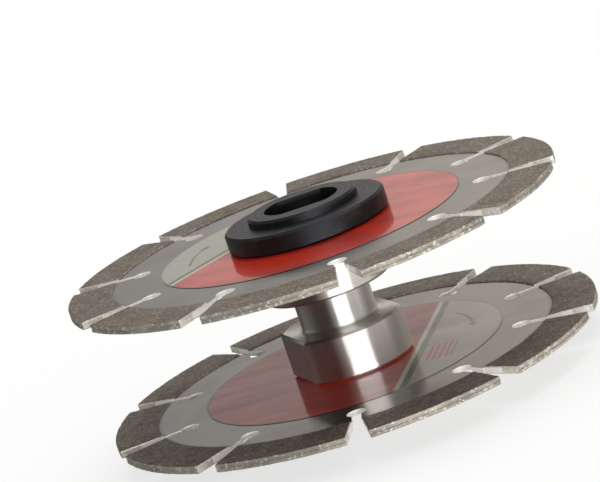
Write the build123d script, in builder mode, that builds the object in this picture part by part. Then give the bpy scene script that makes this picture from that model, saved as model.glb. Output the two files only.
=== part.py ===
from build123d import *
from math import cos, radians, sin
import os

# Twin diamond blade for cutting two parallel lines in masonry with a hand-held grinder.
# Two segmented blades sit on the pilots of a steel spool. An inner flange lies on the upper blade, and
# a clamp ring and a lock nut hold the lower one. The axis is Z, which points to the grinder, and the
# origin is the middle of the lock nut's outer face. All sizes are in millimetres.

os.makedirs("parts", exist_ok=True)

# Blades
blade_diameter = 125.0
bore_diameter = 22.23
core_thickness = 1.3
blade_spacing = 35.7  # between the middle planes of the two blades
lower_blade_clock = 14.0  # degrees from +X to a slot; each blade can be clamped at any angle
upper_blade_clock = 22.9

# Diamond segments, sintered onto the toothed rim of each core
segment_count = 10
segment_height = 11.3
segment_thickness = 2.0
gap_at_root = 2.8
gap_at_rim = 5.6
tongue_height = 6.0  # how far the core reaches into each segment
tooth_notch_width = 1.6
tooth_notch_depth = 1.4
tooth_notch_pitch = 8.0  # degrees
rim_groove_width = 0.5
rim_groove_depth = 0.2

# Cooling slots in the core
slot_width = 2.4
slot_length = 6.6  # from the segments' roots to the middle of the keyhole
keyhole_diameter = 4.8

# Printed labels
label_thickness = 0.1
label_keyhole_margin = 3.6
label_bore_margin = 0.6

# Spool between the blades
lower_seat_width = 4.6  # how far the lower boss reaches past the bore, under the blade
lower_boss_height = 11.3
upper_seat_width = 5.2
upper_boss_height = 13.6
neck_diameter = 19.5
neck_fillet = 1.0
boss_chamfer = 0.6
seat_chamfer = 0.6
flat_seat_width = 2.385  # the same at the wrench flats, which are 27 mm apart
flat_direction = 18.0  # degrees from +X to the normal of one wrench flat
pilot_clearance = 0.03  # radial, in every bore that a pilot centres
pilot_chamfer = 0.4
pilot_reach_in_flange = 1.2
pilot_end_gap = 0.3

# Spindle and nut threads, drawn as plain walls with turned grooves on the stud
thread_diameter = 14.0
thread_pitch = 2.0
thread_depth = 0.8
thread_clearance = 0.05  # radial
spindle_hole_depth = 18.0
thread_lead_in = 0.8
stud_recess = 1.0  # from the lock nut's outer face to the end of the stud

# Clamp ring
ring_diameter = 40.0
ring_thickness = 1.2
ring_chamfer = 0.3

# Lock nut, with its boss turned away from the blade
nut_diameter = 40.0
nut_flange_thickness = 3.8
nut_flange_chamfer = 0.6
nut_boss_diameter = 22.0
nut_boss_height = 2.0
nut_boss_chamfer = 0.5
spanner_hole_count = 4
spanner_hole_diameter = 5.0
spanner_hole_circle = 30.0
spanner_hole_floor = 0.8  # what is left of the nut under each hole
spanner_hole_lead_in = 0.4

# Inner flange
flange_diameter = 41.0
flange_thickness = 5.0
flange_chamfer = 0.6
flange_land_width = 4.5
flange_relief = 0.5
collar_diameter = 28.0
collar_height = 2.0
spindle_clearance = 0.25  # radial, in the flange's hole
drive_pocket_diameter = 19.0
drive_pocket_flats = 15.5
drive_pocket_depth = 3.0

# Heights, from the lock nut's outer face up
nut_flange_bottom = nut_boss_height
ring_bottom = nut_flange_bottom + nut_flange_thickness
lower_core_bottom = ring_bottom + ring_thickness
lower_seat = lower_core_bottom + core_thickness + label_thickness
upper_core_bottom = lower_core_bottom + blade_spacing
upper_core_top = upper_core_bottom + core_thickness
neck_bottom = lower_seat + lower_boss_height
neck_top = upper_core_bottom - upper_boss_height
flange_bottom = upper_core_top + label_thickness
flange_top = flange_bottom + flange_thickness
lower_pilot_end = ring_bottom + pilot_end_gap
upper_pilot_end = flange_bottom + pilot_reach_in_flange

# Radii that several pieces share
blade_radius = blade_diameter / 2
bore_radius = bore_diameter / 2
pilot_radius = bore_radius - pilot_clearance
lower_boss_radius = bore_radius + lower_seat_width
upper_boss_radius = bore_radius + upper_seat_width
flat_distance = bore_radius + flat_seat_width
root_radius = blade_radius - segment_height
core_radius = root_radius + tongue_height
keyhole_circle_radius = root_radius - slot_length
label_radius = keyhole_circle_radius - keyhole_diameter / 2 - label_keyhole_margin
thread_wall_radius = thread_diameter / 2
stud_radius = thread_wall_radius - thread_clearance
spindle_hole_radius = thread_wall_radius + spindle_clearance
segment_angle = 360 / segment_count


def finish(piece, name):
    """Label a finished piece and write it to its own file."""
    piece.part.label = name
    export_step(piece.part, f"parts/{name}.step")


def turned_plane(height, angle):
    """The horizontal plane at a height, with its X axis turned from +X by an angle in degrees."""
    return Plane((0, 0, height), x_dir=(cos(radians(angle)), sin(radians(angle)), 0))


def half_gap(radius):
    """Half the width of the gap between two segments at a radius."""
    return (gap_at_root + (gap_at_rim - gap_at_root) * (radius - root_radius) / segment_height) / 2


def gap_outline(mode):
    """The tapered gap beside a segment, along X, from the segments' roots to past the rim."""
    outside = blade_radius + segment_thickness
    Polygon(
        (root_radius, -half_gap(root_radius)),
        (outside, -half_gap(outside)),
        (outside, half_gap(outside)),
        (root_radius, half_gap(root_radius)),
        align=None,
        mode=mode,
    )


def build_core(name, bottom, clock):
    """A blade's steel core: bore, cooling slots that end in keyholes, and a toothed rim."""
    with BuildPart() as core:
        with BuildSketch(turned_plane(bottom, clock)):
            Circle(core_radius)
            Circle(bore_radius, mode=Mode.SUBTRACT)
            with PolarLocations(0, segment_count):
                gap_outline(Mode.SUBTRACT)
            with PolarLocations(root_radius - slot_length / 2, segment_count):
                Rectangle(slot_length, slot_width, mode=Mode.SUBTRACT)
            with PolarLocations(keyhole_circle_radius, segment_count):
                Circle(keyhole_diameter / 2, mode=Mode.SUBTRACT)
            for offset in (-tooth_notch_pitch, 0, tooth_notch_pitch):
                with PolarLocations(core_radius, segment_count, segment_angle / 2 + offset):
                    Rectangle(2 * tooth_notch_depth, tooth_notch_width, mode=Mode.SUBTRACT)
        extrude(amount=core_thickness)
    finish(core, name)
    return core.part


def build_segment(name, core, core_bottom, angle):
    """One diamond segment, centred on an angle, which grips the core's teeth inside it."""
    middle = core_bottom + core_thickness / 2
    reach = 2 * blade_radius
    side = radians(segment_angle / 2)
    with BuildPart() as segment:
        with BuildSketch(turned_plane(middle - segment_thickness / 2, angle)):
            Circle(blade_radius)
            Circle(root_radius, mode=Mode.SUBTRACT)
            Polygon(
                (0, 0),
                (reach * cos(side), -reach * sin(side)),
                (reach * cos(side), reach * sin(side)),
                align=None,
                mode=Mode.INTERSECT,
            )
            with PolarLocations(0, 2, -segment_angle / 2, 2 * segment_angle):
                gap_outline(Mode.SUBTRACT)
        extrude(amount=segment_thickness)
        with BuildSketch(Plane.XY.offset(middle - rim_groove_width / 2)):
            Circle(blade_radius + rim_groove_depth)
            Circle(blade_radius - rim_groove_depth, mode=Mode.SUBTRACT)
        extrude(amount=rim_groove_width, mode=Mode.SUBTRACT)
        add(core, mode=Mode.SUBTRACT)
    finish(segment, name)


def build_label(name, bottom):
    """The printed disc on top of a core, inside the ring of keyholes."""
    with BuildPart() as label:
        with BuildSketch(Plane.XY.offset(bottom)):
            Circle(label_radius)
            Circle(bore_radius + label_bore_margin, mode=Mode.SUBTRACT)
        extrude(amount=label_thickness)
    finish(label, name)


def build_blade(prefix, core_bottom, clock):
    """A whole blade: core, segments and label."""
    core = build_core(f"{prefix}_core", core_bottom, clock)
    for index in range(segment_count):
        angle = clock + segment_angle * (index + 0.5)
        build_segment(f"{prefix}_segment_{index + 1:02d}", core, core_bottom, angle)
    build_label(f"{prefix}_label", core_bottom + core_thickness)


build_blade("lower", lower_core_bottom, lower_blade_clock)
build_blade("upper", upper_core_bottom, upper_blade_clock)


# Spool: stud, lower pilot, lower boss, neck, upper boss and upper pilot, turned from one bar
with BuildPart() as spacer_hub:
    neck_radius = neck_diameter / 2
    with BuildSketch(Plane.XZ):
        with BuildLine():
            Polyline(
                (0, stud_recess),
                (stud_radius - thread_lead_in, stud_recess),
                (stud_radius, stud_recess + thread_lead_in),
                (stud_radius, lower_pilot_end),
                (pilot_radius - pilot_chamfer, lower_pilot_end),
                (pilot_radius, lower_pilot_end + pilot_chamfer),
                (pilot_radius, lower_seat),
                (neck_radius, lower_seat),
                (neck_radius, neck_top),
                (upper_boss_radius - boss_chamfer, neck_top),
                (upper_boss_radius, neck_top + boss_chamfer),
                (upper_boss_radius, upper_core_bottom - seat_chamfer),
                (upper_boss_radius - seat_chamfer, upper_core_bottom),
                (pilot_radius, upper_core_bottom),
                (pilot_radius, upper_pilot_end - pilot_chamfer),
                (pilot_radius - pilot_chamfer, upper_pilot_end),
                (0, upper_pilot_end),
                close=True,
            )
        make_face()
    revolve(axis=Axis.Z)
    # lower boss, with two flats for a wrench
    with BuildSketch(Plane.XY.offset(lower_seat)):
        Circle(lower_boss_radius)
        Rectangle(2 * flat_distance, 2 * lower_boss_radius, rotation=flat_direction, mode=Mode.INTERSECT)
    extrude(amount=lower_boss_height)
    boss_edges = spacer_hub.edges().filter_by(lambda edge: not edge.is_closed)
    chamfer(boss_edges.filter_by_position(Axis.Z, neck_bottom, neck_bottom), boss_chamfer)
    chamfer(boss_edges.filter_by_position(Axis.Z, lower_seat, lower_seat), seat_chamfer)
    # fillets where the neck meets the two bosses
    neck_ends = spacer_hub.edges().filter_by_position(Axis.Z, neck_bottom, neck_top)
    fillet(neck_ends.filter_by(lambda edge: edge.is_closed).sort_by(SortBy.RADIUS)[:2], neck_fillet)
    # tapped hole for the grinder's spindle
    with Locations((0, 0, upper_pilot_end)):
        CounterSinkHole(thread_wall_radius, thread_wall_radius + thread_lead_in, spindle_hole_depth, 90)
    # turned grooves stand for the thread of the stud
    groove_count = int((lower_pilot_end - stud_recess - thread_lead_in) / thread_pitch)
    with BuildSketch(Plane.XZ):
        for index in range(groove_count):
            with Locations((stud_radius, lower_pilot_end - thread_pitch * (index + 0.5))):
                RegularPolygon(thread_depth, 4, rotation=0)
    revolve(axis=Axis.Z, mode=Mode.SUBTRACT)
finish(spacer_hub, "spacer_hub")


# Clamp ring: a plain ring on the lower pilot, between the lower blade and the lock nut
with BuildPart() as clamp_ring:
    with BuildSketch(Plane.XY.offset(ring_bottom)):
        Circle(ring_diameter / 2)
        Circle(pilot_radius + pilot_clearance, mode=Mode.SUBTRACT)
    extrude(amount=ring_thickness)
    ring_rims = clamp_ring.edges().filter_by(GeomType.CIRCLE)
    chamfer(ring_rims.filter_by(lambda edge: abs(edge.radius - ring_diameter / 2) < 1e-6), ring_chamfer)
finish(clamp_ring, "clamp_ring")


# Lock nut: a round flanged nut with holes for a pin spanner, its boss turned away from the blade
with BuildPart() as lock_nut:
    with BuildSketch(Plane.XY.offset(nut_flange_bottom)):
        Circle(nut_diameter / 2)
    extrude(amount=nut_flange_thickness)
    chamfer(lock_nut.edges().filter_by(GeomType.CIRCLE), nut_flange_chamfer)
    with BuildSketch(Plane.XY):
        Circle(nut_boss_diameter / 2)
    extrude(amount=nut_boss_height)
    chamfer(lock_nut.faces().sort_by(Axis.Z)[0].edges(), nut_boss_chamfer)
    with BuildSketch(Plane.XY):
        Circle(thread_wall_radius)
    extrude(amount=ring_bottom, mode=Mode.SUBTRACT)
    bore_rims = lock_nut.edges().filter_by(GeomType.CIRCLE)
    chamfer(bore_rims.filter_by(lambda edge: abs(edge.radius - thread_wall_radius) < 1e-6), thread_lead_in)
    with Locations(Plane.XY.offset(nut_flange_bottom).rotated((180, 0, 0))):
        with PolarLocations(spanner_hole_circle / 2, spanner_hole_count):
            CounterSinkHole(
                spanner_hole_diameter / 2,
                spanner_hole_diameter / 2 + spanner_hole_lead_in,
                nut_flange_thickness - spanner_hole_floor,
                90,
            )
finish(lock_nut, "lock_nut")


# Inner flange: bears on the upper blade with an outer land, and takes the spindle's shoulder on top
with BuildPart() as inner_flange:
    with BuildSketch(Plane.XY.offset(flange_bottom)):
        Circle(flange_diameter / 2)
    extrude(amount=flange_thickness)
    flange_rims = inner_flange.edges().filter_by(GeomType.CIRCLE)
    chamfer(flange_rims, flange_chamfer)
    with BuildSketch(Plane.XY.offset(flange_top)):
        Circle(collar_diameter / 2)
    extrude(amount=collar_height)
    chamfer(inner_flange.faces().sort_by(Axis.Z)[-1].edges(), flange_chamfer)
    # relief inside the land, and the recess that the upper pilot centres
    with BuildSketch(Plane.XY.offset(flange_bottom)):
        Circle(flange_diameter / 2 - flange_land_width)
    extrude(amount=flange_relief, mode=Mode.SUBTRACT)
    with BuildSketch(Plane.XY.offset(flange_bottom)):
        Circle(pilot_radius + pilot_clearance)
    extrude(amount=pilot_reach_in_flange + pilot_end_gap, mode=Mode.SUBTRACT)
    # spindle hole and the flatted pocket that the spindle's shoulder turns
    with BuildSketch(Plane.XY.offset(flange_bottom)):
        Circle(spindle_hole_radius)
    extrude(amount=flange_thickness + collar_height, mode=Mode.SUBTRACT)
    with BuildSketch(Plane.XY.offset(flange_top + collar_height)):
        Circle(drive_pocket_diameter / 2)
        Rectangle(drive_pocket_diameter, drive_pocket_flats, mode=Mode.INTERSECT)
    extrude(amount=-drive_pocket_depth, mode=Mode.SUBTRACT)
finish(inner_flange, "inner_flange")
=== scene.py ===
import logging
import math
from collections.abc import Iterator
from dataclasses import dataclass
from enum import Enum
from typing import Any

import bmesh
import bpy
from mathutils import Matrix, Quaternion, Vector, noise


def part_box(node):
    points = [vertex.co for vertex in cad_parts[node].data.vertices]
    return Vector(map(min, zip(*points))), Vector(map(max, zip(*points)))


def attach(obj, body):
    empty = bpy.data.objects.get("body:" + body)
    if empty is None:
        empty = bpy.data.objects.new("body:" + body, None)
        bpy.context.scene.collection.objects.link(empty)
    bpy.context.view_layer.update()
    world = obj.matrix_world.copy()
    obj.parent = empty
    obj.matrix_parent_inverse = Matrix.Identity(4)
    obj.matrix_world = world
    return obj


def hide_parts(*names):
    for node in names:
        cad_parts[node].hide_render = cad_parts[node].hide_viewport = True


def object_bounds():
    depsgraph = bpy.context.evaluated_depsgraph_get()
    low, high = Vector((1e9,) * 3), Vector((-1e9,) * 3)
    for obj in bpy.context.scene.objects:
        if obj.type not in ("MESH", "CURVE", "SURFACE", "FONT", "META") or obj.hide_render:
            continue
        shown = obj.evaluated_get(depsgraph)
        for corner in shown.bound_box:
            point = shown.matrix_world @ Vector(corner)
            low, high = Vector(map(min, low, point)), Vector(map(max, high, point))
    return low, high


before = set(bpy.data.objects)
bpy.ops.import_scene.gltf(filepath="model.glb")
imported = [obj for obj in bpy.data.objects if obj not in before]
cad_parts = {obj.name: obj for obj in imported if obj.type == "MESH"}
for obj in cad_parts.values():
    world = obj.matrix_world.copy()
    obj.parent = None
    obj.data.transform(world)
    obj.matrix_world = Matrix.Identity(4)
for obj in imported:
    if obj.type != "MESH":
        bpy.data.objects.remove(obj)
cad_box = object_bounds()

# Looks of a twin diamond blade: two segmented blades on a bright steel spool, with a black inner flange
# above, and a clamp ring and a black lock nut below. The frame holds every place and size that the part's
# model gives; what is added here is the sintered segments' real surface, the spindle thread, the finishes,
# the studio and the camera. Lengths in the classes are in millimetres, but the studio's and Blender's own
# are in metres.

MM = 0.001
Linear = tuple[float, float, float, float]
Span = tuple[float, float]
Place = tuple[int, int, int]
Socket = bpy.types.NodeSocket
WHITE: Linear = (1.0, 1.0, 1.0, 1.0)
WALL_RISE, FACE_RISE = 0.3, 0.6  # a wall's normal rises less than the first, a face's more than the second
NOISE_LOW, NOISE_HIGH = 0.3, 0.7  # nearly all of a noise texture lies between these
TINY = 1e-9  # a shorter vector has no direction
log = logging.getLogger("twin_blade")


class BladePlace(Enum):
    """Which of the two blades; the value is what its nodes' names begin with."""

    LOWER = "lower"
    UPPER = "upper"


class SegmentFace(Enum):
    """Which faces of a segment share a finish; the value is the material's number in the mesh."""

    SIDE = 0
    RIM = 1
    END = 2


class Ink(Enum):
    """An ink of the label's small print; the value is the name of its colour."""

    RED = "red"
    LINE = "line"


def linear(code: str) -> Linear:
    """Turn an sRGB colour code into linear light.

    Args:
        code: six hex digits after a hash sign.

    Returns:
        Red, green, blue and an alpha of one.
    """
    shares = [int(code[start : start + 2], 16) / 255 for start in (1, 3, 5)]
    red, green, blue = (s / 12.92 if s <= 0.04045 else ((s + 0.055) / 1.055) ** 2.4 for s in shares)
    return red, green, blue, 1.0


def towards(azimuth: float, elevation: float) -> Vector:
    """Point in a direction.

    Args:
        azimuth: degrees from +X, counterclockwise seen from above.
        elevation: degrees above the horizon.

    Returns:
        The direction, one unit long.
    """
    a, e = math.radians(azimuth), math.radians(elevation)
    return Vector((math.cos(a) * math.cos(e), math.sin(a) * math.cos(e), math.sin(e)))


def part_middle() -> Vector:
    """The middle of the part's box, in metres."""
    return (Vector(cad_box[0]) + Vector(cad_box[1])) / 2


def put_in_scene(name: str, data: bpy.types.ID) -> bpy.types.Object:
    """Make an object and link it to the scene.

    Args:
        name: the object's name.
        data: its mesh, lamp or camera.

    Returns:
        The object.
    """
    thing = bpy.data.objects.new(name, data)
    bpy.context.scene.collection.objects.link(thing)
    return thing


def paint(node: str, material: bpy.types.Material) -> None:
    """Give a carried-over node a finish.

    Args:
        node: the node's name.
        material: its finish.
    """
    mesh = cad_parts[node].data
    mesh.materials.clear()
    mesh.materials.append(material)
    log.info("%s: %s", node, material.name)


class Graph:
    """A node tree that is being filled in."""

    def __init__(self, tree: bpy.types.NodeTree) -> None:
        """Start from an empty tree.

        Args:
            tree: the node tree of a material or of the world.
        """
        self.tree = tree
        tree.nodes.clear()

    def add(self, kind: str, inputs: dict[str | int, Any] | None = None, **settings: Any) -> bpy.types.Node:
        """Add a node with its settings and links.

        Args:
            kind: the shader node's type, without its ShaderNode prefix.
            inputs: for each input's name or number, the value that it holds or the socket that feeds it.
            **settings: the node's own attributes.

        Returns:
            The new node.
        """
        node = self.tree.nodes.new(f"ShaderNode{kind}")
        for name, value in settings.items():
            setattr(node, name, value)
        for key, value in (inputs or {}).items():
            if isinstance(value, Socket):
                self.tree.links.new(value, node.inputs[key])
            else:
                node.inputs[key].default_value = value
        return node


def from_axis(graph: Graph, place: Socket) -> Socket:
    """How far a point lies from the part's axis.

    Args:
        graph: the node tree.
        place: the point.

    Returns:
        The distance, in the point's own unit.
    """
    flat = graph.add("VectorMath", {0: place, 1: (1.0, 1.0, 0.0)}, operation="MULTIPLY").outputs[0]
    return graph.add("VectorMath", {0: flat}, operation="LENGTH").outputs["Value"]


def ring_lines(graph: Graph, place: Socket, pitch: float) -> Socket:
    """Fine lines round the axis, as a wheel or a turning tool leaves them.

    Args:
        graph: the material's node tree.
        place: the point, in millimetres.
        pitch: the usual distance between two lines, in millimetres.

    Returns:
        A value from 0 to 1 that changes from ring to ring, across a face and along a shaft.
    """
    height = graph.add("SeparateXYZ", {0: place}).outputs["Z"]
    radius = from_axis(graph, place)
    along = graph.add("Math", {0: radius, 1: height}, operation="ADD").outputs[0]
    lines = {"W": along, "Scale": 1 / pitch, "Detail": 2.0, "Roughness": 0.7}
    return graph.add("TexNoise", lines, noise_dimensions="1D").outputs[0]


def on_walls(graph: Graph) -> Socket:
    """Whether a surface stands upright, as the walls of the slots and holes do.

    Args:
        graph: the material's node tree.

    Returns:
        One on a wall, zero on a flat face.
    """
    normal = graph.add("TexCoord").outputs["Normal"]
    height = graph.add("SeparateXYZ", {0: normal}).outputs["Z"]
    rise = graph.add("Math", {0: height}, operation="ABSOLUTE").outputs[0]
    return graph.add("MapRange", {"Value": rise, "From Min": FACE_RISE, "From Max": WALL_RISE}).outputs[0]


@dataclass(frozen=True)
class Finish:
    """A surface finish, which is one material."""

    name: str

    def material(self) -> bpy.types.Material:
        """Build the material.

        Returns:
            The material, with its node tree filled in by the finish's own shade method.
        """
        material = bpy.data.materials.new(self.name)
        material.use_nodes = True
        graph = Graph(material.node_tree)
        place = graph.add("TexCoord").outputs["Object"]
        in_mm = graph.add("VectorMath", {0: place, "Scale": 1 / MM}, operation="SCALE").outputs[0]
        shader = self.shade(graph, in_mm)
        graph.add("OutputMaterial", {"Surface": shader.outputs[0]})
        return material

    def shade(self, graph: Graph, place: Socket) -> bpy.types.Node:
        """Add the nodes that make the surface.

        Args:
            graph: the material's node tree.
            place: the point being shaded, in millimetres in the part's own frame.

        Returns:
            The surface shader.
        """
        raise NotImplementedError


# Spring steel sheet, ground flat and polished: it gives a dark grey near-mirror that carries the hub's
# image, with faint rings and cloudy smudges, painted shade in a dark brown band just inside the segments'
# roots, and painted light that colours the cut walls nearly white.
@dataclass(frozen=True)
class GroundBladeSteel(Finish):
    """The steel of a blade's core."""

    name: str = "ground_blade_steel"
    colour: str = "#94918c"
    stain: str = "#7a7671"
    stain_share: float = 0.5
    stain_range: Span = (0.45, 0.75)  # of the smudges' noise, from clean to stained
    smudge_size: float = 14.0
    roughness: Span = (0.13, 0.2)
    ring_pitch: float = 0.35  # drawn coarser than the real 0.1 mm marks, which would be too fine to show
    ring_depth: float = 0.02
    ring_strength: float = 0.05
    # painted shade: a dark brown band just inside the segments' roots, where the step from core to segments
    # falls
    step_shade: str = "#4d433b"
    step_shade_share: float = 0.55
    step_shade_radius: float = 51.2
    step_shade_width: float = 1.1
    # painted light: a near-white that makes the cut walls of the slots and holes look brightly lit
    painted_lit_cut_wall: str = "#f6f3ed"
    cut_metallic: float = 0.2
    cut_roughness: float = 0.3  # how much rougher the cut walls are than the faces

    def shade(self, graph: Graph, place: Socket) -> bpy.types.Node:
        """Add a metal with rings, smudges, painted shade by the segments' roots and painted light on the
        walls.

        Args:
            graph: the material's node tree.
            place: the point being shaded, in millimetres.

        Returns:
            The surface shader.
        """
        clouds = {"Vector": place, "Scale": 1 / self.smudge_size, "Detail": 4.0, "Distortion": 0.6}
        smudge = graph.add("TexNoise", clouds).outputs[0]
        clean, stained = self.stain_range
        stain = {"Value": smudge, "From Min": clean, "From Max": stained, "To Max": self.stain_share}
        stain_cover = graph.add("MapRange", stain).outputs[0]
        sheet = {"Factor": stain_cover, "A": linear(self.colour), "B": linear(self.stain)}
        colour = graph.add("Mix", sheet, data_type="RGBA").outputs["Result"]
        # painted shade: darken the core towards dark brown in a band just inside the segments' roots
        step_shade_band = {
            "Value": from_axis(graph, place),
            "From Min": self.step_shade_radius - self.step_shade_width,
            "From Max": self.step_shade_radius,
            "To Max": self.step_shade_share,
        }
        in_step_shade = graph.add("MapRange", step_shade_band).outputs[0]
        step_shaded = {"Factor": in_step_shade, "A": colour, "B": linear(self.step_shade)}
        colour = graph.add("Mix", step_shaded, data_type="RGBA").outputs["Result"]
        walls = on_walls(graph)
        # painted light: the upright cut walls take the near-white colour, so the slots and holes look
        # brightly lit
        painted_wall_light = {"Factor": walls, "A": colour, "B": linear(self.painted_lit_cut_wall)}
        colour = graph.add("Mix", painted_wall_light, data_type="RGBA").outputs["Result"]
        metal = graph.add("MapRange", {"Value": walls, "To Min": 1.0, "To Max": self.cut_metallic}).outputs[0]
        smooth, dull = self.roughness
        polish = {"From Min": NOISE_LOW, "From Max": NOISE_HIGH, "To Min": smooth, "To Max": dull}
        rough = graph.add("MapRange", {"Value": smudge, **polish}).outputs[0]
        roughened = {0: walls, 1: self.cut_roughness, 2: rough}
        rough = graph.add("Math", roughened, operation="MULTIPLY_ADD").outputs[0]
        rings = ring_lines(graph, place, self.ring_pitch)
        relief = {"Strength": self.ring_strength, "Distance": self.ring_depth * MM, "Height": rings}
        bump = graph.add("Bump", relief).outputs[0]
        surface = {"Base Color": colour, "Metallic": metal, "Roughness": rough, "Normal": bump}
        return graph.add("BsdfPrincipled", surface)


# Metal powder hot-pressed with diamond grit, ground by use on its two sides: it gives a matte, dark
# grey-brown grain with paler crumbs of grit, black pores and no clear reflections.
@dataclass(frozen=True)
class SinteredSegment(Finish):
    """The sides of a diamond segment."""

    name: str = "sintered_segment"
    colour: str = "#70665a"
    crumb: str = "#a49886"
    crumb_share: float = 0.25
    crumb_cover: float = 0.8
    pore: str = "#38322b"
    pore_cover: float = 0.7
    pore_range: Span = (0.62, 0.7)  # of the fine noise, from the pore's rim to its floor
    cloud_cover: float = 0.45
    cloud_range: Span = (0.4, 0.7)  # of the clouds' noise, from pale to dark
    cloud_size: float = 6.0
    grit_size: float = 0.55  # drawn coarser than the real 0.4 mm grit, which would be too fine to show
    grit_height: float = 0.05
    grit_strength: float = 0.6
    roughness: Span = (0.42, 0.64)
    metallic: float = 0.5

    def shade(self, graph: Graph, place: Socket) -> bpy.types.Node:
        """Add a grainy metal: clouds of tone, crumbs, pores and the relief of the grit.

        Args:
            graph: the material's node tree.
            place: the point being shaded, in millimetres.

        Returns:
            The surface shader.
        """
        cells = graph.add("TexVoronoi", {"Vector": place, "Scale": 1 / self.grit_size})
        lot = graph.add("SeparateColor", {0: cells.outputs["Color"]}).outputs
        clouds = {"Vector": place, "Scale": 1 / self.cloud_size, "Detail": 5.0}
        cloud = graph.add("TexNoise", clouds).outputs[0]
        fine = graph.add("TexNoise", {"Vector": place, "Scale": 2 / self.grit_size, "Detail": 3.0}).outputs[0]
        pale, dark = self.cloud_range
        shadow = {"Value": cloud, "From Min": pale, "From Max": dark, "To Max": self.cloud_cover}
        shadowed = graph.add("MapRange", shadow).outputs[0]
        matrix = {"Factor": shadowed, "A": linear(self.colour), "B": linear(self.pore)}
        colour = graph.add("Mix", matrix, data_type="RGBA").outputs["Result"]
        chosen = {"Value": lot[0], "From Min": 1 - self.crumb_share, "To Max": self.crumb_cover}
        crumbs = graph.add("MapRange", chosen).outputs[0]
        gritty = {"Factor": crumbs, "A": colour, "B": linear(self.crumb)}
        colour = graph.add("Mix", gritty, data_type="RGBA").outputs["Result"]
        rim, floor = self.pore_range
        pitted = {"Value": fine, "From Min": rim, "From Max": floor, "To Max": self.pore_cover}
        pores = graph.add("MapRange", pitted).outputs[0]
        porous = {"Factor": pores, "A": colour, "B": linear(self.pore)}
        colour = graph.add("Mix", porous, data_type="RGBA").outputs["Result"]
        smooth, dull = self.roughness
        rough = graph.add("MapRange", {"Value": lot[1], "To Min": smooth, "To Max": dull}).outputs[0]
        height = graph.add("Math", {0: fine, 1: lot[2]}, operation="ADD").outputs[0]
        relief = {"Strength": self.grit_strength, "Distance": self.grit_height * MM, "Height": height}
        bump = graph.add("Bump", relief).outputs[0]
        surface = {"Base Color": colour, "Metallic": self.metallic, "Roughness": rough, "Normal": bump}
        return graph.add("BsdfPrincipled", surface)


# The same sintered metal, dressed open on an abrasive block: it gives a pale grey rim that sparkles.
@dataclass(frozen=True)
class DressedRim(SinteredSegment):
    """The rim and the root of a diamond segment."""

    name: str = "dressed_rim"
    colour: str = "#a39d91"
    crumb: str = "#e0dbd0"
    pore: str = "#5b544b"
    metallic: float = 0.45


# The same sintered metal on the segments' ends, where painted light makes the walls of the gaps look
# brightly lit: it gives the palest and least shiny faces.
@dataclass(frozen=True)
class PaintedLitEnd(SinteredSegment):
    """The two ends of a diamond segment, beside the gaps."""

    name: str = "painted_lit_end"
    # painted light: a near-white that makes the ends beside the gaps look brightly lit
    colour: str = "#d2cdc3"
    crumb: str = "#efebe3"
    pore: str = "#8b857a"
    metallic: float = 0.3


@dataclass(frozen=True)
class PrintedBar:
    """A plain bar printed beside the dark line and parallel to it, in millimetres."""

    offset: float  # from the line to the middle of the bar
    start: float = -16.0
    end: float = -4.0
    half_width: float = 0.42
    ink: Ink = Ink.RED


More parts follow.
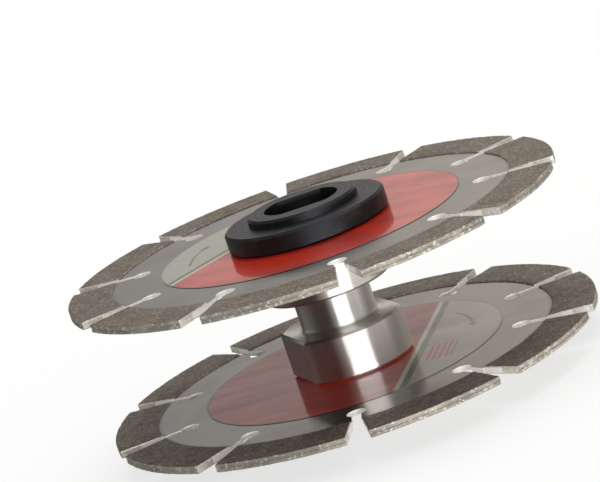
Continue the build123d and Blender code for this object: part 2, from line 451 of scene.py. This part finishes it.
# Gloss inks screen-printed on the steel under a clear varnish, red on one side of a chord and silver-grey
# on the other: it gives saturated colour with a sharp, weak mirror of the hub and a film of dust.
@dataclass(frozen=True)
class PrintedLabel(Finish):
    """The printed disc of a blade."""

    name: str = "printed_label"
    direction: float = 0.0  # degrees from +X to the middle of the silver part
    outer_radius: float = 38.6
    edge_width: float = 0.45
    edge_softness: float = 0.12
    red: str = "#ba2b17"
    deep_red: str = "#771a0f"
    deep_red_share: float = 0.6
    deep_red_range: Span = (0.4, 0.65)  # of the dust's noise, from red to deep red
    edge: str = "#3a1a17"
    silver: str = "#a4a192"
    silver_edge: str = "#6f6d60"
    silver_metallic: float = 0.5
    chord: float = 16.8
    stripe: str = "#c3c0b1"
    stripe_width: float = 1.3
    line: str = "#54554a"
    line_width: float = 1.8
    arrow_radius: float = 31.0
    arrow_half_width: float = 0.35
    arrow_span: Span = (8.0, 40.0)  # degrees from the silver part's middle
    arrow_head: float = 6.0  # degrees
    arrow_head_spread: float = 4.0  # how many times as wide as the shaft the head starts
    bars: tuple[PrintedBar, ...] = (
        PrintedBar(2.0),
        PrintedBar(3.6),
        PrintedBar(5.2),
        PrintedBar(6.8),
        PrintedBar(8.2, half_width=0.2, ink=Ink.LINE),
    )
    dust_size: float = 9.0
    dust_stretch: float = 0.35
    dust_range: Span = (0.35, 0.7)  # of the dust's noise, from wiped to dusty
    roughness: Span = (0.26, 0.42)
    ink_specular: float = 0.15
    varnish: float = 0.75
    varnish_roughness: float = 0.07

    def inside(self, graph: Graph, value: Socket, low: float, high: float) -> Socket:
        """Whether a length lies between two others, with a soft edge at each.

        Args:
            graph: the material's node tree.
            value: the length, in millimetres.
            low: the lower end.
            high: the upper end.

        Returns:
            One inside, zero outside.
        """
        soft = self.edge_softness
        past_low = {"Value": value, "From Min": low - soft, "From Max": low + soft}
        above = graph.add("MapRange", past_low).outputs[0]
        past_high = {"Value": value, "From Min": high + soft, "From Max": high - soft}
        below = graph.add("MapRange", past_high).outputs[0]
        return graph.add("Math", {0: above, 1: below}, operation="MULTIPLY").outputs[0]

    def arrow(self, graph: Graph, place: Socket, radius: Socket) -> Socket:
        """The curved arrow that shows which way the blade turns.

        Args:
            graph: the material's node tree.
            place: the point, in millimetres, with +X to the middle of the silver part.
            radius: the point's distance from the axis.

        Returns:
            One on the arrow, zero beside it.
        """
        axes = graph.add("SeparateXYZ", {0: place}).outputs
        angle = graph.add("Math", {0: axes["Y"], 1: axes["X"]}, operation="ARCTAN2").outputs[0]
        degrees = graph.add("Math", {0: angle}, operation="DEGREES").outputs[0]
        start, end = self.arrow_span
        neck = start + self.arrow_head
        off = graph.add("Math", {0: radius, 1: self.arrow_radius}, operation="SUBTRACT").outputs[0]
        off = graph.add("Math", {0: off}, operation="ABSOLUTE").outputs[0]
        widest = self.arrow_head_spread * self.arrow_half_width
        point = {"Value": degrees, "From Min": start, "From Max": neck, "To Max": widest}
        head_width = graph.add("MapRange", point).outputs[0]
        past_neck = graph.add("Math", {0: degrees, 1: neck}, operation="GREATER_THAN").outputs[0]
        shaft = graph.add("MapRange", {"Value": past_neck, "To Max": self.arrow_half_width}).outputs[0]
        on_head = graph.add("Math", {0: 1.0, 1: past_neck}, operation="SUBTRACT").outputs[0]
        width = graph.add("Math", {0: head_width, 1: on_head, 2: shaft}, operation="MULTIPLY_ADD").outputs[0]
        gap = graph.add("Math", {0: width, 1: off}, operation="SUBTRACT").outputs[0]
        edge = {"Value": gap, "From Min": -self.edge_softness, "From Max": self.edge_softness}
        on = graph.add("MapRange", edge).outputs[0]
        middle, half = (start + end) / 2, (end - start) / 2
        along = graph.add("Math", {0: degrees, 1: middle, 2: half}, operation="COMPARE").outputs[0]
        return graph.add("Math", {0: on, 1: along}, operation="MULTIPLY").outputs[0]

    def shade(self, graph: Graph, place: Socket) -> bpy.types.Node:
        """Add the print: red, silver, stripe, arrow and bars, with a dark outline and a film of dust.

        Args:
            graph: the material's node tree.
            place: the point being shaded, in millimetres.

        Returns:
            The surface shader.
        """
        turn = {"Vector": place, "Angle": -math.radians(self.direction)}
        turned = graph.add("VectorRotate", turn, rotation_type="Z_AXIS").outputs[0]
        axes = graph.add("SeparateXYZ", {0: turned}).outputs
        radius = from_axis(graph, place)
        drawn_out = {"Vector": turned, "Scale": (self.dust_stretch, 1.0, 1.0)}
        streaks_at = graph.add("Mapping", drawn_out).outputs[0]
        streaks = {"Vector": streaks_at, "Scale": 1 / self.dust_size, "Detail": 5.0}
        dust = graph.add("TexNoise", streaks).outputs[0]
        bright, deep = self.deep_red_range
        mottle = {"Value": dust, "From Min": bright, "From Max": deep, "To Max": self.deep_red_share}
        mottled = graph.add("MapRange", mottle).outputs[0]
        reds = {"Factor": mottled, "A": linear(self.red), "B": linear(self.deep_red)}
        colour = graph.add("Mix", reds, data_type="RGBA").outputs["Result"]
        beyond = 2 * self.outer_radius
        line_start = self.chord + self.stripe_width
        line_end = line_start + self.line_width
        on_silver = self.inside(graph, axes["X"], self.chord, beyond)
        layers: list[tuple[Socket, Linear | Socket]] = [(on_silver, linear(self.silver))]
        for bar in self.bars:
            middle = line_end + bar.offset
            across = self.inside(graph, axes["X"], middle - bar.half_width, middle + bar.half_width)
            along = self.inside(graph, axes["Y"], bar.start, bar.end)
            on_bar = graph.add("Math", {0: across, 1: along}, operation="MULTIPLY").outputs[0]
            layers.append((on_bar, linear(getattr(self, bar.ink.value))))
        layers.append((self.arrow(graph, turned, radius), linear(self.line)))
        layers.append((self.inside(graph, axes["X"], self.chord, line_start), linear(self.stripe)))
        layers.append((self.inside(graph, axes["X"], line_start, line_end), linear(self.line)))
        outlines = {"Factor": on_silver, "A": linear(self.edge), "B": linear(self.silver_edge)}
        outline = graph.add("Mix", outlines, data_type="RGBA").outputs["Result"]
        layers.append((self.inside(graph, radius, self.outer_radius - self.edge_width, beyond), outline))
        for cover, ink in layers:
            printed = {"Factor": cover, "A": colour, "B": ink}
            colour = graph.add("Mix", printed, data_type="RGBA").outputs["Result"]
        metal = graph.add("MapRange", {"Value": on_silver, "To Max": self.silver_metallic}).outputs[0]
        wiped, dusty = self.dust_range
        smooth, dull = self.roughness
        film = {"Value": dust, "From Min": wiped, "From Max": dusty, "To Min": smooth, "To Max": dull}
        rough = graph.add("MapRange", film).outputs[0]
        surface = {
            "Base Color": colour,
            "Metallic": metal,
            "Roughness": rough,
            "Specular IOR Level": self.ink_specular,
            "Coat Weight": self.varnish,
            "Coat Roughness": self.varnish_roughness,
        }
        return graph.add("BsdfPrincipled", surface)


# Free-cutting steel, fine turned and bright plated: it gives a silvery shaft on which the turning lines
# smear each light and each dark part of the room into a band along the axis.
@dataclass(frozen=True)
class TurnedBrightSteel(Finish):
    """The steel of the spool."""

    name: str = "turned_bright_steel"
    colour: str = "#e6e4df"
    dull: str = "#d8d5cf"
    dull_share: float = 0.5
    dull_range: Span = (0.4, 0.7)  # of the clouds' noise, from bright to dull
    cloud_size: float = 7.0
    roughness: Span = (0.31, 0.34)
    stretch: float = 1.0
    quarter_turn: float = 0.25  # stretches the shine along the axis, across the turning lines
    line_pitch: float = 0.3  # drawn coarser than the real 0.15 mm feed, which would be too fine to show
    line_depth: float = 0.02
    line_strength: float = 0.02

    def shade(self, graph: Graph, place: Socket) -> bpy.types.Node:
        """Add a bright metal with turning lines, whose shine is stretched across them.

        Args:
            graph: the material's node tree.
            place: the point being shaded, in millimetres.

        Returns:
            The surface shader.
        """
        clouds = {"Vector": place, "Scale": 1 / self.cloud_size, "Detail": 3.0}
        cloud = graph.add("TexNoise", clouds).outputs[0]
        bright, dull = self.dull_range
        dulling = {"Value": cloud, "From Min": bright, "From Max": dull, "To Max": self.dull_share}
        dulled = graph.add("MapRange", dulling).outputs[0]
        plating = {"Factor": dulled, "A": linear(self.colour), "B": linear(self.dull)}
        colour = graph.add("Mix", plating, data_type="RGBA").outputs["Result"]
        lines = ring_lines(graph, place, self.line_pitch)
        smooth, rubbed = self.roughness
        feed = {"From Min": NOISE_LOW, "From Max": NOISE_HIGH, "To Min": smooth, "To Max": rubbed}
        rough = graph.add("MapRange", {"Value": lines, **feed}).outputs[0]
        relief = {"Strength": self.line_strength, "Distance": self.line_depth * MM, "Height": lines}
        bump = graph.add("Bump", relief).outputs[0]
        tangent = graph.add("Tangent", direction_type="RADIAL", axis="Z").outputs[0]
        surface = {
            "Base Color": colour,
            "Metallic": 1.0,
            "Roughness": rough,
            "Anisotropic": self.stretch,
            "Anisotropic Rotation": self.quarter_turn,
            "Tangent": tangent,
            "Normal": bump,
        }
        return graph.add("BsdfPrincipled", surface)


# Turned steel with a thin zinc coat: it gives the same bands as the spool, but greyer and more blurred.
@dataclass(frozen=True)
class ZincPlatedSteel(TurnedBrightSteel):
    """The steel of the clamp ring."""

    name: str = "zinc_plated_steel"
    colour: str = "#b3b5b6"
    dull: str = "#8e8f8c"
    roughness: Span = (0.3, 0.45)


# Turned steel with a hot black oxide coat: it gives a blue-black satin, rubbed to brown-grey in patches.
@dataclass(frozen=True)
class BlackOxide(Finish):
    """The coated steel of the inner flange and the lock nut."""

    name: str = "black_oxide"
    colour: str = "#2b2d31"
    rubbed: str = "#3f3d3b"
    rubbed_share: float = 0.7
    rubbed_range: Span = (0.52, 0.7)  # of the wear's noise, from black to rubbed
    wear_size: float = 5.0
    metallic: float = 0.8
    roughness: Span = (0.32, 0.5)
    line_pitch: float = 0.45  # drawn coarser than the real 0.2 mm feed, which would be too fine to show
    line_depth: float = 0.03
    line_strength: float = 0.3

    def shade(self, graph: Graph, place: Socket) -> bpy.types.Node:
        """Add a dark satin metal with turning lines and rubbed patches.

        Args:
            graph: the material's node tree.
            place: the point being shaded, in millimetres.

        Returns:
            The surface shader.
        """
        wear = graph.add("TexNoise", {"Vector": place, "Scale": 1 / self.wear_size, "Detail": 6.0}).outputs[0]
        black, rubbed = self.rubbed_range
        handled = {"Value": wear, "From Min": black, "From Max": rubbed, "To Max": self.rubbed_share}
        worn = graph.add("MapRange", handled).outputs[0]
        coat = {"Factor": worn, "A": linear(self.colour), "B": linear(self.rubbed)}
        colour = graph.add("Mix", coat, data_type="RGBA").outputs["Result"]
        lines = ring_lines(graph, place, self.line_pitch)
        smooth, dull = self.roughness
        feed = {"From Min": NOISE_LOW, "From Max": NOISE_HIGH, "To Min": smooth, "To Max": dull}
        rough = graph.add("MapRange", {"Value": lines, **feed}).outputs[0]
        relief = {"Strength": self.line_strength, "Distance": self.line_depth * MM, "Height": lines}
        bump = graph.add("Bump", relief).outputs[0]
        surface = {"Base Color": colour, "Metallic": self.metallic, "Roughness": rough, "Normal": bump}
        return graph.add("BsdfPrincipled", surface)


@dataclass(frozen=True)
class SegmentWear:
    """How the corners of a segment are worn, and how coarse its grain is, in millimetres."""

    corner: float = 0.14
    chips: float = 0.25
    large_chips: float = 0.45  # to the millimetre
    small_chips: float = 1.3  # to the millimetre
    small_chip_share: float = 0.7
    grain: float = 0.08
    grain_size: float = 0.9


@dataclass
class Segment:
    """One diamond segment: a curved block with tapered ends, a groove round its rim and worn corners."""

    root_radius: float = 51.2
    rim_radius: float = 62.5
    thickness: float = 2.0
    gap_at_root: float = 2.8
    gap_at_rim: float = 5.6
    pitch: float = 36.0  # degrees from one segment to the next
    groove_width: float = 0.5
    groove_depth: float = 0.2
    groove_floor: float = 0.75  # the share of the groove's width that is at its full depth
    wear: SegmentWear = SegmentWear()
    step: float = 0.55  # between two grid lines of the mesh
    step_up: float = 1.0
    sharp_edge: float = 50.0  # degrees

    @property
    def middle_radius(self) -> float:
        """The radius halfway between the root and the rim."""
        return (self.rim_radius + self.root_radius) / 2

    def stations(self, half: float, step: float, extra: tuple[float, ...] = ()) -> list[float]:
        """Where the grid lines lie between two faces, closer together at the worn corners.

        Args:
            half: half the distance between the faces.
            step: the usual spacing.
            extra: more places that need a line.

        Returns:
            The places in order, from the middle.
        """
        corner = self.wear.corner
        low, high = -half + corner, half - corner
        count = max(1, round((high - low) / step))
        inner = [low + (high - low) * index / count for index in range(count + 1)]
        return sorted({-half, -half + corner / 2, *inner, *extra, half - corner / 2, half})

    def half_angle(self, radius: float) -> float:
        """Half the angle that the segment spans at a radius, in radians."""
        share = (radius - self.root_radius) / (self.rim_radius - self.root_radius)
        gap = self.gap_at_root + (self.gap_at_rim - self.gap_at_root) * share
        return math.radians(self.pitch / 2) - math.asin(gap / 2 / radius)

    def worn(self, point: Vector, half: Vector, seed: Vector) -> Vector:
        """Round a point of a box into the worn and grainy surface.

        Args:
            point: a point on the box, from the box's centre.
            half: half the box's size.
            seed: where the point lies in the part, which picks its chips and grains.

        Returns:
            The moved point, which is never outside the box.
        """
        wear = self.wear
        small = noise.noise(seed * wear.small_chips) * wear.small_chip_share
        chip = max(0.0, noise.noise(seed * wear.large_chips) + small)
        corner = wear.corner + wear.chips * chip
        inner = Vector(max(-h + corner, min(h - corner, p)) for p, h in zip(point, half))
        out = point - inner
        if out.length < TINY:
            return point
        grain = abs(noise.noise(seed / wear.grain_size)) * wear.grain
        return inner + out.normalized() * (corner - grain)

    def bent(self, flat: Vector, half: Vector, middle: float, angle: float, on_rim: bool) -> Vector:
        """Wear a point of the straight block, and bend it round the part's axis.

        Args:
            flat: the point along, out and up from the block's centre.
            half: half the block's size.
            middle: the height of the blade's middle plane.
            angle: the direction of the segment's middle, in degrees from +X.
            on_rim: whether the point is on the rim, where the groove is.

        Returns:
            The point in the part's frame.
        """
        start = math.radians(angle)
        radius = self.middle_radius + flat.y
        seed_angle = start + flat.x / self.middle_radius
        seed = Vector((math.cos(seed_angle) * radius, math.sin(seed_angle) * radius, middle + flat.z))
        box = self.worn(flat, half, seed)
        radius = self.middle_radius + box.y
        if on_rim and abs(flat.z) < self.groove_floor * self.groove_width / 2:
            radius -= self.groove_depth
        turn = start + box.x / half.x * self.half_angle(radius)
        return Vector((math.cos(turn) * radius, math.sin(turn) * radius, middle + box.z))

    def tiles(self, last: Place) -> Iterator[tuple[SegmentFace, list[Place]]]:
        """Walk over the block's surface, tile by tile.

        Args:
            last: the number of the last grid line along, out and up.

        Returns:
            For each tile, the kind of face that it is on and the grid places of its four corners.
        """
        for axis, face in enumerate((SegmentFace.END, SegmentFace.RIM, SegmentFace.SIDE)):
            first, second = [other for other in range(3) if other != axis]
            for level in (0, last[axis]):
                for i in range(last[first]):
                    for j in range(last[second]):
                        ring = []
                        for di, dj in ((0, 0), (1, 0), (1, 1), (0, 1)):
                            place = [0, 0, 0]
                            place[axis], place[first], place[second] = level, i + di, j + dj
                            ring.append(tuple(place))
                        yield face, ring

    def mesh(self, name: str, middle: float, angle: float) -> bpy.types.Mesh:
        """Build the segment's closed surface.

        Args:
            name: the mesh's name.
            middle: the height of the blade's middle plane, in millimetres.
            angle: the direction of the segment's middle, in degrees from +X.

        Returns:
            The mesh, in which each kind of face has its own material number.
        """
        half_length = self.half_angle(self.middle_radius) * self.middle_radius
        half = Vector((half_length, (self.rim_radius - self.root_radius) / 2, self.thickness / 2))
        groove = self.groove_width / 2
        along = self.stations(half_length, self.step)
        out = self.stations((self.rim_radius - self.root_radius) / 2, self.step)
        up = self.stations(self.thickness / 2, self.step_up, (-groove, -groove / 2, groove / 2, groove))
        last = (len(along) - 1, len(out) - 1, len(up) - 1)
        model = bmesh.new()
        corners: dict[Place, bmesh.types.BMVert] = {}
        for kind, ring in self.tiles(last):
            for place in ring:
                if place not in corners:
                    flat = Vector((along[place[0]], out[place[1]], up[place[2]]))
                    where = self.bent(flat, half, middle, angle, on_rim=place[1] == last[1])
                    corners[place] = model.verts.new(where * MM)
            face = model.faces.new([corners[place] for place in ring])
            face.material_index = kind.value
            face.smooth = True
        bmesh.ops.recalc_face_normals(model, faces=model.faces)
        mesh = bpy.data.meshes.new(name)
        model.to_mesh(mesh)
        model.free()
        mesh.set_sharp_from_angle(angle=math.radians(self.sharp_edge))
        return mesh


@dataclass
class Blade:
    """A whole blade: its core, its label and its diamond segments."""

    place: BladePlace
    clock: float  # degrees from +X to a slot
    label_direction: float  # degrees from +X to the middle of the label's silver part
    segment: Segment
    count: int = 10

    @property
    def prefix(self) -> str:
        """What the names of the blade's nodes begin with."""
        return self.place.value

    @property
    def body(self) -> str:
        """The body that the blade's pieces ride on."""
        return f"{self.prefix}_blade"

    def dress(self, steel: bpy.types.Material, grits: dict[SegmentFace, bpy.types.Material]) -> None:
        """Build the segments and dress every piece of the blade.

        Args:
            steel: the core's finish.
            grits: the finish of each kind of segment face.
        """
        paint(f"{self.prefix}_core", steel)
        label = PrintedLabel(name=f"{self.prefix}_printed_label", direction=self.label_direction)
        paint(f"{self.prefix}_label", label.material())
        low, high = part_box(f"{self.prefix}_core")
        middle = (low[2] + high[2]) / 2 / MM
        for index in range(self.count):
            node = f"{self.prefix}_segment_{index + 1:02d}"
            name = f"{node}_sintered"
            mesh = self.segment.mesh(name, middle, self.clock + self.segment.pitch * (index + 0.5))
            for face in SegmentFace:
                mesh.materials.append(grits[face])
            piece = put_in_scene(name, mesh)
            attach(piece, self.body)
            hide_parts(node)
            log.info("%s: %d faces", name, len(mesh.polygons))


@dataclass
class SpindleThread:
    """The right-handed thread cut inside the spool's top, which the grinder's spindle screws into."""

    wall_radius: float = 7.0
    crest_radius: float = 6.05
    pitch: float = 2.0
    crest_width: float = 0.3
    root_width: float = 1.7
    top_gap: float = 1.0
    length: float = 16.0
    steps: int = 48  # for each turn

    def mesh(self, top: float) -> bpy.types.Mesh:
        """Build the thread's ridge as a closed helix, which grows out of the wall in its first turn.

        Args:
            top: the height at which it starts, in millimetres.

        Returns:
            The mesh.
        """
        profile = (
            (self.wall_radius, self.root_width / 2),
            (self.crest_radius, self.crest_width / 2),
            (self.crest_radius, -self.crest_width / 2),
            (self.wall_radius, -self.root_width / 2),
        )
        model = bmesh.new()
        rings = []
        for index in range(round(self.length / self.pitch * self.steps) + 1):
            turn = 2 * math.pi * index / self.steps
            height = top - self.root_width / 2 - self.pitch * index / self.steps
            share = min(1.0, index / self.steps)
            ring = []
            for radius, offset in profile:
                reach = self.wall_radius + (radius - self.wall_radius) * share
                where = Vector((math.cos(turn) * reach, -math.sin(turn) * reach, height + offset))
                ring.append(model.verts.new(where * MM))
            rings.append(ring)
        for first, second in zip(rings, rings[1:]):
            for index in range(len(profile)):
                after = (index + 1) % len(profile)
                model.faces.new((first[index], first[after], second[after], second[index]))
        model.faces.new(rings[0])
        model.faces.new(list(reversed(rings[-1])))
        bmesh.ops.recalc_face_normals(model, faces=model.faces)
        mesh = bpy.data.meshes.new("spindle_thread")
        model.to_mesh(mesh)
        model.free()
        return mesh

    def build(self, material: bpy.types.Material) -> None:
        """Put the thread in the spool.

        Args:
            material: the spool's finish.
        """
        _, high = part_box("spacer_hub")
        mesh = self.mesh(high[2] / MM - self.top_gap)
        mesh.materials.append(material)
        piece = put_in_scene("spindle_thread", mesh)
        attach(piece, "spool")
        log.info("spindle_thread: %.1f turns", self.length / self.pitch)


@dataclass
class Spool:
    """The spool between the blades, with its thread and the flange that turns with it."""

    thread: SpindleThread

    def dress(self, bright: bpy.types.Material, black: bpy.types.Material) -> None:
        """Dress the spool and its flange, and cut the thread.

        Args:
            bright: the spool's finish.
            black: the flange's finish.
        """
        paint("spacer_hub", bright)
        self.thread.build(bright)
        paint("inner_flange", black)


@dataclass
class Fastening:
    """What holds the lower blade on the spool."""

    ring: str = "clamp_ring"
    nut: str = "lock_nut"

    def dress(self, zinc: bpy.types.Material, black: bpy.types.Material) -> None:
        """Dress the clamp ring and the lock nut.

        Args:
            zinc: the ring's finish.
            black: the nut's finish.
        """
        paint(self.ring, zinc)
        paint(self.nut, black)


@dataclass(frozen=True)
class RoomStop:
    """How the room looks in polished metal in one direction."""

    angle: float  # degrees from +X
    level: float  # how bright, where 1 is white
    warmth: float  # how much of the blue is missing


@dataclass(frozen=True)
class SoftLamp:
    """A rectangular lamp that hangs round the part and points at its middle."""

    name: str
    azimuth: float  # degrees from +X to the lamp
    elevation: float  # degrees above the horizon
    away: float  # metres from the part's middle
    width: float  # metres
    height: float  # metres
    watts: float

    def hang(self) -> None:
        """Make the lamp."""
        data = bpy.data.lights.new(self.name, "AREA")
        data.shape = "RECTANGLE"
        data.size, data.size_y = self.width, self.height
        data.energy = self.watts
        lamp = put_in_scene(self.name, data)
        way = towards(self.azimuth, self.elevation)
        lamp.location = part_middle() + way * self.away
        lamp.rotation_mode = "QUATERNION"
        lamp.rotation_quaternion = (-way).to_track_quat("-Z", "Y")


@dataclass
class Studio:
    """A white floor, a soft white sky and two soft lamps."""

    floor_half: float = 6.0  # metres, and so are the two fades
    floor_colour: str = "#f4f3f1"
    floor_glow: float = 0.72  # the floor's own white near the part; the rest of it takes the shadow
    fade_start: float = 0.15
    fade_end: float = 0.7
    floor_in_metal: float = 0.95
    sky_strength: float = 0.64
    # what shines on upright parts lies low: a white sheet at the right front, with a black flag at its left
    low_room: tuple[RoomStop, ...] = (
        RoomStop(-180.0, 0.02, 0.1),
        RoomStop(-124.0, 0.025, 0.15),
        RoomStop(-116.0, 0.08, 0.1),
        RoomStop(-92.0, 1.25, 0.02),
        RoomStop(-52.0, 1.7, 0.03),
        RoomStop(-22.0, 1.5, 0.04),
        RoomStop(12.0, 0.28, 0.15),
        RoomStop(60.0, 0.45, 0.15),
        RoomStop(105.0, 0.35, 0.1),
        RoomStop(118.0, 0.03, 0.25),
        RoomStop(180.0, 0.02, 0.1),
    )
    # what shines on the blades lies high and is greyer
    high_room: tuple[RoomStop, ...] = (
        RoomStop(-180.0, 0.26, 0.05),
        RoomStop(-160.0, 0.08, 0.1),
        RoomStop(-117.0, 0.04, 0.1),
        RoomStop(-92.0, 0.5, 0.02),
        RoomStop(-30.0, 0.5, 0.02),
        RoomStop(5.0, 0.35, 0.1),
        RoomStop(60.0, 0.55, 0.2),
        RoomStop(83.0, 0.8, 0.18),
        RoomStop(97.0, 0.43, 0.0),
        RoomStop(112.0, 0.35, 0.0),
        RoomStop(120.0, 0.06, 0.0),
        RoomStop(130.0, 0.06, 0.0),
        RoomStop(137.0, 0.4, 0.0),
        RoomStop(160.0, 0.4, 0.05),
        RoomStop(180.0, 0.26, 0.05),
    )
    lamps: tuple[SoftLamp, ...] = (
        SoftLamp("key_lamp", azimuth=-74.0, elevation=3.4, away=1.2, width=0.95, height=0.12, watts=6.8),
        SoftLamp("top_lamp", azimuth=60.0, elevation=75.0, away=1.4, width=0.9, height=0.9, watts=10.0),
    )

    def look(self, graph: Graph, way: Socket, room: tuple[RoomStop, ...]) -> Socket:
        """How the room looks in metal.

        Args:
            graph: the node tree.
            way: a direction, or a place seen from the part.
            room: what stands round the part.

        Returns:
            The colour, with a straight run between each two stops.
        """
        around = graph.add("TexGradient", {"Vector": way}, gradient_type="RADIAL").outputs["Fac"]
        ramp = graph.add("ValToRGB", {"Fac": around})
        elements = ramp.color_ramp.elements
        while len(elements) < len(room):
            elements.new(1.0)
        for element, stop in zip(elements, room):
            green, blue = stop.level * (1 - stop.warmth / 2), stop.level * (1 - stop.warmth)
            element.position = stop.angle / 360 + 0.5
            element.color = (stop.level, green, blue, 1.0)
        return ramp.outputs["Color"]

    def shown(self, graph: Graph, way: Socket, room: tuple[RoomStop, ...]) -> Socket:
        """What stands behind the part: plain white by itself, and the room where metal mirrors it.

        Args:
            graph: the node tree.
            way: a direction, or a place seen from the part.
            room: what stands round the part.

        Returns:
            The colour.
        """
        straight = graph.add("LightPath").outputs["Is Camera Ray"]
        either = {"Factor": straight, "A": self.look(graph, way, room), "B": WHITE}
        return graph.add("Mix", either, data_type="RGBA").outputs["Result"]

    def seen(self, graph: Graph) -> Socket:
        """Whether a ray comes from the camera, or from it by way of shine or glass.

        Args:
            graph: the node tree.

        Returns:
            One for such a ray, zero for light that falls on a surface.
        """
        path = graph.add("LightPath").outputs
        straight_or_shine = {0: path["Is Camera Ray"], 1: path["Is Glossy Ray"]}
        either = graph.add("Math", straight_or_shine, operation="MAXIMUM").outputs[0]
        return graph.add("Math", {0: either, 1: path["Is Transmission Ray"]}, operation="MAXIMUM").outputs[0]

    def build_floor(self) -> None:
        """Lay the floor, which keeps the part's shadow and turns as white as the sky further out."""
        material = bpy.data.materials.new("studio_floor")
        material.use_nodes = True
        graph = Graph(material.node_tree)
        painted = graph.add("BsdfDiffuse", {"Color": linear(self.floor_colour)}).outputs[0]
        place = graph.add("TexCoord").outputs["Object"]
        shown = self.shown(graph, place, self.low_room)
        glow = graph.add("Emission", {"Color": shown, "Strength": 1.0}).outputs[0]
        fade = {
            "Value": from_axis(graph, place),
            "From Min": self.fade_start,
            "From Max": self.fade_end,
            "To Min": self.floor_glow,
            "To Max": 1.0,
        }
        glow_share = graph.add("MapRange", fade).outputs[0]
        shine = graph.add("Math", {0: self.seen(graph), 1: glow_share}, operation="MULTIPLY").outputs[0]
        in_metal = {0: graph.add("LightPath").outputs["Is Glossy Ray"], 1: self.floor_in_metal}
        shiny = graph.add("Math", in_metal, operation="MULTIPLY").outputs[0]
        share = graph.add("Math", {0: shine, 1: shiny}, operation="MAXIMUM").outputs[0]
        mixed = graph.add("MixShader", {0: share, 1: painted, 2: glow}).outputs[0]
        graph.add("OutputMaterial", {"Surface": mixed})
        mesh = bpy.data.meshes.new("studio_floor")
        low = cad_box[0][2]
        half = self.floor_half
        corners = [(-half, -half, low), (half, -half, low), (half, half, low), (-half, half, low)]
        mesh.from_pydata(corners, [], [(0, 1, 2, 3)])
        mesh.materials.append(material)
        floor = put_in_scene("studio_floor", mesh)

    def build_world(self) -> None:
        """Make the sky: plain white, with a dark side that only shines in metal."""
        world = bpy.data.worlds.new("studio_sky")
        bpy.context.scene.world = world
        world.use_nodes = True
        graph = Graph(world.node_tree)
        way = graph.add("TexCoord").outputs["Generated"]
        colour = self.shown(graph, way, self.high_room)
        plain = graph.add("Background", {"Color": WHITE, "Strength": self.sky_strength}).outputs[0]
        shown = graph.add("Background", {"Color": colour, "Strength": 1.0}).outputs[0]
        mixed = graph.add("MixShader", {0: self.seen(graph), 1: plain, 2: shown}).outputs[0]
        graph.add("OutputWorld", {"Surface": mixed})

    def build(self) -> None:
        """Build the floor, the sky and the lamps."""
        self.build_floor()
        self.build_world()
        for lamp in self.lamps:
            lamp.hang()


@dataclass
class Viewpoint:
    """The camera: a long lens, held tilted, whose line of sight passes near the part's middle."""

    azimuth: float = -89.412  # degrees from +X to the camera
    elevation: float = 12.24
    roll: float = 18.645
    distance: float = 670.42
    aim: tuple[float, float, float] = (-3.254, 3.299, 15.361)  # from the middle of the part's box
    focal_length: float = 162.624
    sensor_width: float = 36.0
    nearest: float = 10.0
    farthest: float = 50000.0

    def build(self) -> None:
        """Set up the camera and make it the scene's."""
        data = bpy.data.cameras.new("camera")
        data.lens = self.focal_length
        data.sensor_width = self.sensor_width
        data.clip_start, data.clip_end = self.nearest * MM, self.farthest * MM
        camera = put_in_scene("camera", data)
        back = towards(self.azimuth, self.elevation)
        camera.location = part_middle() + (Vector(self.aim) + back * self.distance) * MM
        camera.rotation_mode = "QUATERNION"
        level = (-back).to_track_quat("-Z", "Y")
        camera.rotation_quaternion = level @ Quaternion((0, 0, 1), -math.radians(self.roll))
        bpy.context.scene.camera = camera


def main() -> None:
    """Build the looks of the part, the studio and the camera."""
    logging.basicConfig(level=logging.INFO, format="%(name)s: %(message)s")
    Viewpoint().build()
    Studio().build()
    steel = GroundBladeSteel().material()
    grits = {
        SegmentFace.SIDE: SinteredSegment().material(),
        SegmentFace.RIM: DressedRim().material(),
        # the segments' ends take a near-white colour that is painted light
        SegmentFace.END: PaintedLitEnd().material(),
    }
    segment = Segment()
    Blade(BladePlace.LOWER, clock=14.0, label_direction=-16.1, segment=segment).dress(steel, grits)
    Blade(BladePlace.UPPER, clock=22.9, label_direction=136.8, segment=segment).dress(steel, grits)
    black = BlackOxide().material()
    Spool(SpindleThread()).dress(TurnedBrightSteel().material(), black)
    Fastening().dress(ZincPlatedSteel().material(), black)
    bpy.context.scene.view_settings.view_transform = "Standard"


if __name__ == "__main__":
    main()
